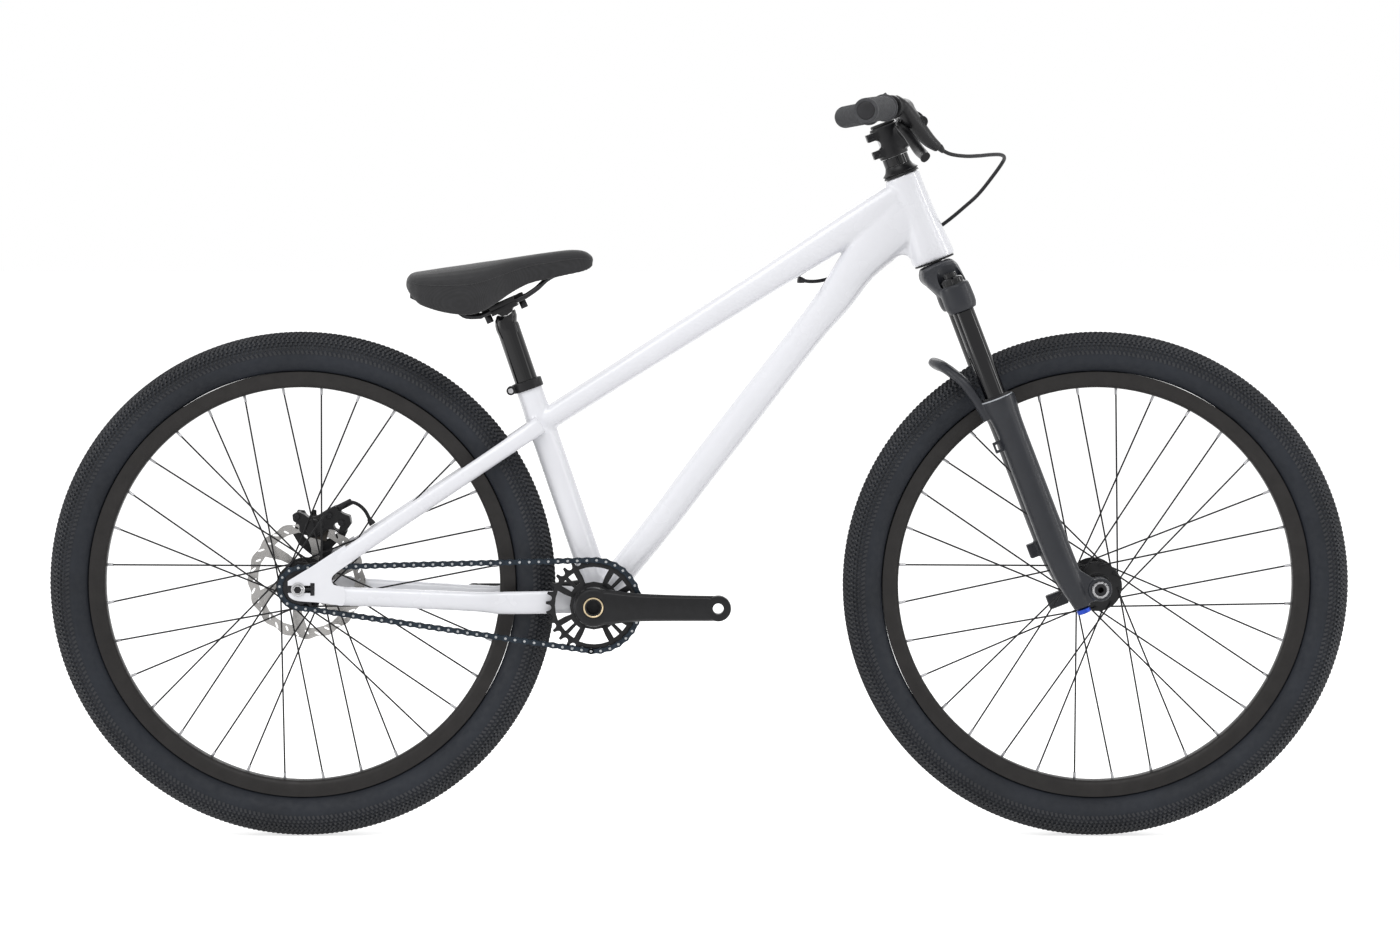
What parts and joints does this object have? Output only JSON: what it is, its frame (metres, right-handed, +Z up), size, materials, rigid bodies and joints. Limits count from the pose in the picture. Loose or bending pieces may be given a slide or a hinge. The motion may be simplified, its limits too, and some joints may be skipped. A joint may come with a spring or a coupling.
{
  "type": "dirt jump bike",
  "caption": "Hard-tail dirt jump bicycle with a white frame, a suspension fork, knobbly tyres, a low padded saddle, a wide bar and a rear disc brake.",
  "frame": {"origin": "on the ground in the middle of the bounding box, between the two wheels", "axes": "+X forward to the front wheel, +Y to the left side of the bicycle, +Z up"},
  "size_m": [1.736, 0.7668, 0.9979],
  "materials": {
    "tyre": "matte",
    "rubber": "matte",
    "rim_black": "satin",
    "black_aluminium": "satin",
    "gloss_black": "gloss",
    "steel": "brushed",
    "rotor_steel": "brushed",
    "chain_steel": "satin",
    "frame_white": "gloss",
    "fork_slate": "satin",
    "grip_rubber": "matte",
    "black_plastic": "matte",
    "blue_knob": "anodised",
    "saddle_cover": "matte",
    "pad_compound": "matte",
    "bolt_black": "satin"
  },
  "bodies": {
    "frame": {"frame": "frame_white", "tensioner_right": "black_aluminium", "tensioner_left": "black_aluminium", "brake_caliper": "black_aluminium", "caliper_bracket": "black_aluminium", "brake_hose_front": "rubber", "brake_hose_rear": "rubber", "chain": "chain_steel", "bracket_cup_right": "black_aluminium", "bracket_cup_left": "black_aluminium", "rear_axle": "steel", "axle_bolt_right": "bolt_black", "axle_bolt_left": "bolt_black", "headset_lower": "black_aluminium", "headset_upper": "black_aluminium", "seat_collar": "black_aluminium", "collar_bolt": "bolt_black"},
    "steering": {"fork_crown": "fork_slate", "steerer": "steel", "stanchion_right": "gloss_black", "stanchion_left": "gloss_black", "headset_cover": "black_aluminium", "spacer": "black_aluminium", "stem": "black_aluminium", "faceplate": "black_aluminium", "stem_cap": "black_aluminium", "handlebar": "black_aluminium", "grip_right": "grip_rubber", "grip_left": "grip_rubber", "lever_body": "black_aluminium"},
    "brake_lever": {"lever_blade": "black_aluminium"},
    "fork_lowers": {"fork_lowers": "fork_slate", "wiper_right": "rubber", "wiper_left": "rubber", "front_axle": "steel"},
    "rebound_knob": {"rebound_knob": "blue_knob"},
    "front_wheel": {"front_tyre": "tyre", "front_inner_tube": "rubber", "front_rim": "rim_black", "front_hub": "black_aluminium"},
    "rear_wheel": {"rear_tyre": "tyre", "rear_inner_tube": "rubber", "rear_rim": "rim_black", "rear_hub": "black_aluminium", "brake_rotor": "rotor_steel"},
    "cog": {"rear_cog": "steel"},
    "crank": {"chainring": "black_aluminium", "crank_arm_right": "black_aluminium", "crank_arm_left": "black_aluminium", "spindle": "steel"},
    "pad_right": {"brake_pad_right": "pad_compound"},
    "pad_left": {"brake_pad_left": "pad_compound"},
    "seatpost": {"seatpost": "gloss_black"},
    "saddle_clamp": {"rail_cradle": "black_aluminium", "rail_clamp": "black_aluminium", "clamp_bolt_front": "bolt_black", "clamp_bolt_rear": "bolt_black"},
    "saddle": {"saddle_rails": "bolt_black", "saddle_shell": "black_plastic", "saddle_pad": "saddle_cover"}
  },
  "joints": [
    {"name": "steering", "type": "hinge", "parent": "frame", "child": "steering", "pos_m": [0.31292, 0, 0.77096], "axis": [-0.3584, 0, 0.9336], "range_deg": [-75, 75], "deforming": ["brake_hose_front"]},
    {"name": "fork_travel", "type": "slide", "parent": "steering", "child": "fork_lowers", "axis": [-0.3584, 0, 0.9336], "range_m": [0, 0.1], "stiffness_N_per_m": 9000, "springref_m": -0.012},
    {"name": "front_wheel_spin", "type": "hinge", "parent": "fork_lowers", "child": "front_wheel", "pos_m": [0.53, 0, 0.338], "axis": [0, 1, 0], "continuous": true},
    {"name": "rear_wheel_spin", "type": "hinge", "parent": "frame", "child": "rear_wheel", "pos_m": [-0.53, 0, 0.338], "axis": [0, 1, 0], "continuous": true},
    {"name": "crank_spin", "type": "hinge", "parent": "frame", "child": "crank", "pos_m": [-0.13974, 0, 0.314], "axis": [0, 1, 0], "continuous": true, "deforming": ["chain"]},
    {"name": "cog_spin", "type": "hinge", "parent": "frame", "child": "cog", "pos_m": [-0.53, 0, 0.338], "axis": [0, 1, 0], "continuous": true},
    {"name": "brake_lever", "type": "hinge", "parent": "steering", "child": "brake_lever", "pos_m": [0.25913, -0.188, 0.94806], "axis": [-0.6606, 0, -0.7507], "range_deg": [0, 18], "stiffness_Nm_per_rad": 0.8, "springref_deg": -5.73},
    {"name": "pad_right_slide", "type": "slide", "parent": "frame", "child": "pad_right", "axis": [0, 1, 0], "range_m": [0, 0.0005]},
    {"name": "pad_left_slide", "type": "slide", "parent": "frame", "child": "pad_left", "axis": [0, -1, 0], "range_m": [0, 0.0005]},
    {"name": "seatpost_height", "type": "slide", "parent": "frame", "child": "seatpost", "axis": [-0.3223, 0, 0.9466], "range_m": [-0.06, 0.05]},
    {"name": "saddle_tilt", "type": "hinge", "parent": "seatpost", "child": "saddle_clamp", "pos_m": [-0.2605, 0, 0.71052], "axis": [0, 1, 0], "range_deg": [-8, 8]},
    {"name": "saddle_slide", "type": "slide", "parent": "saddle_clamp", "child": "saddle", "axis": [0.915, 0, 0.4035], "range_m": [-0.01, 0.01]},
    {"name": "rebound_knob", "type": "hinge", "parent": "fork_lowers", "child": "rebound_knob", "pos_m": [0.5078, -0.065, 0.3131], "axis": [-0.3584, 0, 0.9336], "range_deg": [-270, 270]}
  ],
  "couplings": [
    {"joint": "cog_spin", "follows": "crank_spin", "ratio": 2.3077},
    {"joint": "pad_right_slide", "follows": "brake_lever", "m_per_rad": 0.0015},
    {"joint": "pad_left_slide", "follows": "brake_lever", "m_per_rad": 0.0015}
  ]
}
